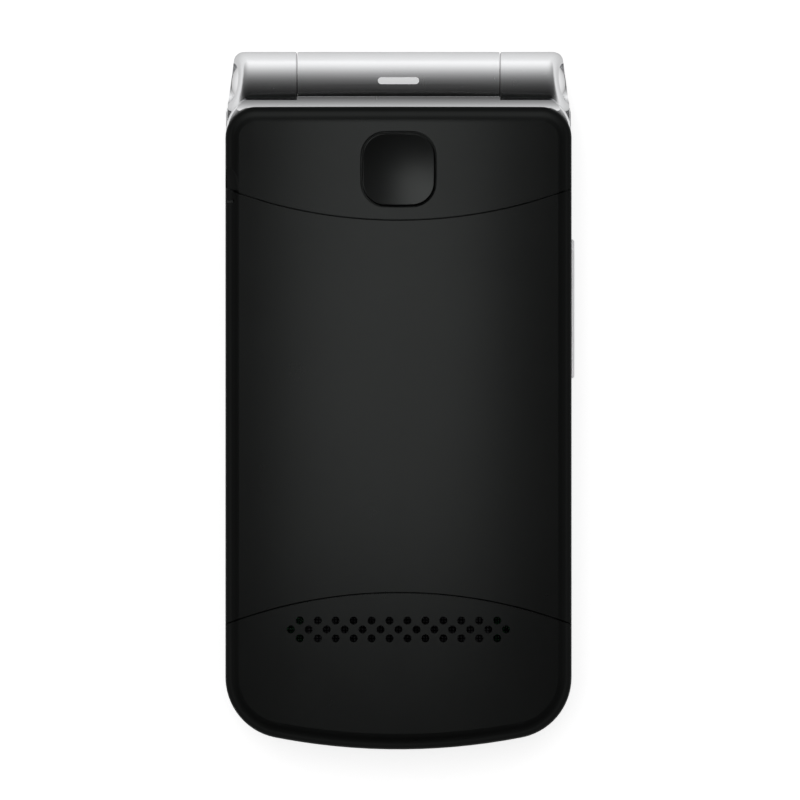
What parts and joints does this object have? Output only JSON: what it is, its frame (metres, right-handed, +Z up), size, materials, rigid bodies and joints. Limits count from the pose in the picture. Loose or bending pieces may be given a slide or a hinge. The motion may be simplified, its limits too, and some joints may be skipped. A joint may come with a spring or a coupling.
{
  "type": "flip phone",
  "caption": "Flip phone that folds on a barrel hinge, with a lift-off battery cover, a dished assist button, a volume rocker and a full key field.",
  "frame": {"origin": "on the table under the middle of the closed phone, which lies on its lid", "axes": "+X across the phone, +Y towards the hinge, +Z up through the lid and then the base half"},
  "size_m": [0.0525, 0.1048, 0.0188],
  "materials": {
    "black_shell": "satin moulded black plastic",
    "black_gloss": "polished black plastic",
    "silver": "fine satin silver",
    "chrome": "bright polished",
    "steel": "plain stamped or turned",
    "window_glass": "tinted clear",
    "display": "dark display, unlit",
    "dark_plastic": "moulded",
    "circuit_board": "green lacquer",
    "rubber": "soft matt",
    "clear_lens": "frosted clear",
    "lamp": "yellow lamp on a white board",
    "copper_flex": "amber film over copper",
    "speaker_mesh": "blackened woven mesh",
    "battery_case": "grey wrapped can",
    "key_plastic": "satin key caps"
  },
  "bodies": {
    "lid": {"lid_outer_shell": "black_shell", "lid_frame": "silver", "lid_inner_bezel": "black_gloss", "knuckle_left": "silver", "knuckle_right": "silver", "hinge_end_caps": "chrome", "hinge_shaft": "steel", "hinge_pin": "steel", "main_window": "window_glass", "main_display": "display", "outer_window": "window_glass", "outer_display": "display", "camera_module": "black_gloss", "camera_ring": "chrome", "earpiece": "dark_plastic", "lid_circuit_board": "circuit_board", "lid_bumpers": "rubber", "lid_screws": "steel"},
    "base": {"base_rear_housing": "black_shell", "base_frame": "silver", "base_front_housing": "black_gloss", "barrel_shell": "silver", "torch_lens": "clear_lens", "torch_led": "lamp", "hinge_spring_module": "steel", "hinge_flex": "copper_flex", "main_circuit_board": "circuit_board", "shield_can": "steel", "key_domes": "steel", "tact_switches": "dark_plastic", "loudspeaker": "dark_plastic", "speaker_mesh": "speaker_mesh", "vibration_motor": "steel", "microphone": "steel", "usb_socket": "steel", "battery": "battery_case", "battery_contacts": "dark_plastic", "sim_socket": "steel", "base_screws": "steel"},
    "battery_cover": {"battery_cover": "black_shell"},
    "assist_button": {"assist_button": "black_shell"},
    "volume_rocker": {"volume_rocker": "chrome"},
    "nav_ring": {"nav_ring": "silver"},
    "ok_key": {"ok_key": "key_plastic"},
    "key_1": {"key_1": "key_plastic"},
    "key_2": {"key_2": "key_plastic"},
    "key_3": {"key_3": "key_plastic"},
    "key_4": {"key_4": "key_plastic"},
    "key_5": {"key_5": "key_plastic"},
    "key_6": {"key_6": "key_plastic"},
    "key_7": {"key_7": "key_plastic"},
    "key_8": {"key_8": "key_plastic"},
    "key_9": {"key_9": "key_plastic"},
    "key_star": {"key_star": "key_plastic"},
    "key_0": {"key_0": "key_plastic"},
    "key_hash": {"key_hash": "key_plastic"},
    "soft_key_left": {"soft_key_left": "key_plastic"},
    "soft_key_right": {"soft_key_right": "key_plastic"},
    "call_key": {"call_key": "key_plastic"},
    "end_key": {"end_key": "key_plastic"}
  },
  "joints": [
    {"name": "flip_hinge", "type": "hinge", "parent": "lid", "child": "base", "pos_m": [0, 0.04765, 0.00877], "axis": [-1, 0, 0], "range_deg": [0, 150]},
    {"name": "cover_lift", "type": "slide", "parent": "base", "child": "battery_cover", "axis": [0, 0, 1], "range_m": [0, 0.008]},
    {"name": "assist_press", "type": "slide", "parent": "base", "child": "assist_button", "axis": [0, 0, -1], "range_m": [0, 0.00045], "stiffness_N_per_m": 2500},
    {"name": "volume_rock", "type": "hinge", "parent": "base", "child": "volume_rocker", "pos_m": [0.02365, 0.0137, 0.01202], "axis": [0, 0, 1], "range_deg": [-1.6, 1.6], "stiffness_Nm_per_rad": 0.35},
    {"name": "nav_rock", "type": "hinge", "parent": "base", "child": "nav_ring", "pos_m": [0, 0.01995, 0.0108], "axis": [1, 0, 0], "range_deg": [-1.5, 1.5], "stiffness_Nm_per_rad": 0.5},
    {"name": "ok_press", "type": "slide", "parent": "nav_ring", "child": "ok_key", "axis": [0, 0, 1], "range_m": [0, 0.0003], "stiffness_N_per_m": 3500},
    {"name": "key_1_press", "type": "slide", "parent": "base", "child": "key_1", "axis": [0, 0, 1], "range_m": [0, 0.0003], "stiffness_N_per_m": 3500},
    {"name": "key_2_press", "type": "slide", "parent": "base", "child": "key_2", "axis": [0, 0, 1], "range_m": [0, 0.0003], "stiffness_N_per_m": 3500},
    {"name": "key_3_press", "type": "slide", "parent": "base", "child": "key_3", "axis": [0, 0, 1], "range_m": [0, 0.0003], "stiffness_N_per_m": 3500},
    {"name": "key_4_press", "type": "slide", "parent": "base", "child": "key_4", "axis": [0, 0, 1], "range_m": [0, 0.0003], "stiffness_N_per_m": 3500},
    {"name": "key_5_press", "type": "slide", "parent": "base", "child": "key_5", "axis": [0, 0, 1], "range_m": [0, 0.0003], "stiffness_N_per_m": 3500},
    {"name": "key_6_press", "type": "slide", "parent": "base", "child": "key_6", "axis": [0, 0, 1], "range_m": [0, 0.0003], "stiffness_N_per_m": 3500},
    {"name": "key_7_press", "type": "slide", "parent": "base", "child": "key_7", "axis": [0, 0, 1], "range_m": [0, 0.0003], "stiffness_N_per_m": 3500},
    {"name": "key_8_press", "type": "slide", "parent": "base", "child": "key_8", "axis": [0, 0, 1], "range_m": [0, 0.0003], "stiffness_N_per_m": 3500},
    {"name": "key_9_press", "type": "slide", "parent": "base", "child": "key_9", "axis": [0, 0, 1], "range_m": [0, 0.0003], "stiffness_N_per_m": 3500},
    {"name": "key_star_press", "type": "slide", "parent": "base", "child": "key_star", "axis": [0, 0, 1], "range_m": [0, 0.0003], "stiffness_N_per_m": 3500},
    {"name": "key_0_press", "type": "slide", "parent": "base", "child": "key_0", "axis": [0, 0, 1], "range_m": [0, 0.0003], "stiffness_N_per_m": 3500},
    {"name": "key_hash_press", "type": "slide", "parent": "base", "child": "key_hash", "axis": [0, 0, 1], "range_m": [0, 0.0003], "stiffness_N_per_m": 3500},
    {"name": "soft_key_left_press", "type": "slide", "parent": "base", "child": "soft_key_left", "axis": [0, 0, 1], "range_m": [0, 0.0003], "stiffness_N_per_m": 3500},
    {"name": "soft_key_right_press", "type": "slide", "parent": "base", "child": "soft_key_right", "axis": [0, 0, 1], "range_m": [0, 0.0003], "stiffness_N_per_m": 3500},
    {"name": "call_key_press", "type": "slide", "parent": "base", "child": "call_key", "axis": [0, 0, 1], "range_m": [0, 0.0003], "stiffness_N_per_m": 3500},
    {"name": "end_key_press", "type": "slide", "parent": "base", "child": "end_key", "axis": [0, 0, 1], "range_m": [0, 0.0003], "stiffness_N_per_m": 3500}
  ]
}
